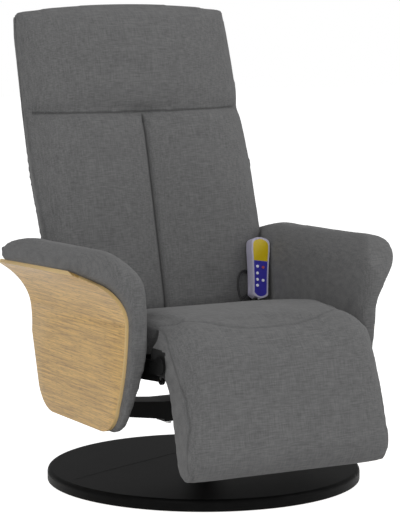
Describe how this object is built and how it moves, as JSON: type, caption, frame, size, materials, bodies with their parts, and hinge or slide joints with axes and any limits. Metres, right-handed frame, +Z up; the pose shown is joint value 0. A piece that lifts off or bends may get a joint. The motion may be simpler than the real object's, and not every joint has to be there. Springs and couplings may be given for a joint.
{
  "type": "massage recliner",
  "caption": "Padded swivel recliner with bent wood arms, a linked legrest, vibrating pads and a corded remote, on a round base.",
  "frame": {"origin": "floor point under the swivel axis, on the face of the centre glide", "axes": "+Z up along the swivel axis, -Y to the sitter's front, +X to the right as seen from the front"},
  "size_m": [0.7292, 0.822, 1.0512],
  "materials": {
    "black_plastic": "satin moulded plastic",
    "plywood": "raw plywood",
    "black_leather": "grained faux leather",
    "black_steel": "black powder coat",
    "zinc_steel": "zinc plated",
    "black_cloth": "black nonwoven cloth",
    "fabric_grey": "grey melange weave",
    "oak_veneer": "clear lacquered oak veneer",
    "cord_black": "matte sheath",
    "circuit_green": "solder mask",
    "remote_shell": "satin lilac grey",
    "remote_yellow": "printed film",
    "remote_blue": "printed film",
    "button_white": "silicone",
    "button_red": "silicone"
  },
  "bodies": {
    "base": {"base_glides": "black_plastic", "base_board": "plywood", "base_cover": "black_leather", "swivel_post": "black_steel", "post_bolts": "zinc_steel", "thrust_washer": "black_plastic"},
    "back": {"back_board": "plywood", "back_bracket_left": "black_steel", "back_bracket_right": "black_steel", "rod_bolts_rear": "zinc_steel", "back_cushion_left": "fabric_grey", "back_cushion_right": "fabric_grey", "head_cushion": "fabric_grey", "back_cover": "fabric_grey", "back_vibrators": "black_plastic"},
    "legrest": {"legrest_pad": "fabric_grey", "legrest_board": "plywood", "legrest_arms": "black_steel", "rod_bolts_front": "zinc_steel", "legrest_vibrators": "black_plastic"},
    "rods": {"drive_rods": "black_steel"},
    "remote": {"remote_front": "remote_shell", "remote_rear": "remote_shell", "remote_circuit": "circuit_green", "remote_upper_label": "remote_yellow", "remote_lower_label": "remote_blue", "remote_strain_relief": "cord_black"},
    "chassis": {"swivel_hub": "black_steel", "hub_bolts": "zinc_steel", "crossbar": "black_steel", "side_plate_left": "black_steel", "side_plate_right": "black_steel", "arm_spacers": "black_steel", "arm_bolts": "zinc_steel", "seat_side_rails": "black_steel", "seat_cross_rails": "black_steel", "seat_spacers": "black_steel", "seat_webbing": "black_cloth", "seat_dust_cover": "black_cloth", "seat_cushion": "fabric_grey", "seat_vibrators": "black_plastic", "back_pivot_pins": "zinc_steel", "legrest_pivot_pins": "black_steel", "control_box": "black_plastic", "power_inlet": "black_plastic", "arm_panel_left": "oak_veneer", "arm_panel_right": "oak_veneer", "arm_pad_left": "fabric_grey", "arm_pad_right": "fabric_grey", "arm_tail_caps": "black_cloth", "cord_grommet": "black_plastic", "remote_cord": "cord_black"},
    "button_zone_1": {"button_zone_1": "button_white"},
    "button_zone_2": {"button_zone_2": "button_white"},
    "button_zone_3": {"button_zone_3": "button_white"},
    "button_zone_4": {"button_zone_4": "button_white"},
    "button_mode": {"button_mode": "button_white"},
    "button_power": {"button_power": "button_red"}
  },
  "joints": [
    {"name": "swivel", "type": "hinge", "parent": "base", "child": "chassis", "pos_m": [0, 0, 0.1], "axis": [0, 0, 1], "continuous": true},
    {"name": "back_recline", "type": "hinge", "parent": "chassis", "child": "back", "pos_m": [0, 0.215, 0.3], "axis": [-1, 0, 0], "range_deg": [0, 42]},
    {"name": "legrest_lift", "type": "hinge", "parent": "chassis", "child": "legrest", "pos_m": [0, -0.262, 0.312], "axis": [-1, 0, 0], "range_deg": [0, 70]},
    {"name": "rod_swing", "type": "hinge", "parent": "back", "child": "rods", "pos_m": [0, 0.2365, 0.24399], "axis": [-1, 0, 0], "range_deg": [-42, 0]},
    {"name": "remote_lift", "type": "slide", "parent": "chassis", "child": "remote", "axis": [0, -0.2588, 0.9659], "range_m": [0, 0.12], "deforming": ["remote_cord"]},
    {"name": "press_zone_1", "type": "slide", "parent": "remote", "child": "button_zone_1", "axis": [0, 0.9613, -0.2756], "range_m": [0, 0.001], "stiffness_N_per_m": 300},
    {"name": "press_zone_2", "type": "slide", "parent": "remote", "child": "button_zone_2", "axis": [0, 0.9613, -0.2756], "range_m": [0, 0.001], "stiffness_N_per_m": 300},
    {"name": "press_zone_3", "type": "slide", "parent": "remote", "child": "button_zone_3", "axis": [0, 0.9613, -0.2756], "range_m": [0, 0.001], "stiffness_N_per_m": 300},
    {"name": "press_zone_4", "type": "slide", "parent": "remote", "child": "button_zone_4", "axis": [0, 0.9613, -0.2756], "range_m": [0, 0.001], "stiffness_N_per_m": 300},
    {"name": "press_mode", "type": "slide", "parent": "remote", "child": "button_mode", "axis": [0, 0.9613, -0.2756], "range_m": [0, 0.001], "stiffness_N_per_m": 300},
    {"name": "press_power", "type": "slide", "parent": "remote", "child": "button_power", "axis": [0, 0.9613, -0.2756], "range_m": [0, 0.001], "stiffness_N_per_m": 300}
  ],
  "couplings": [
    {"joint": "legrest_lift", "follows": "back_recline", "ratio": 1.6667},
    {"joint": "rod_swing", "follows": "back_recline", "ratio": -1}
  ]
}
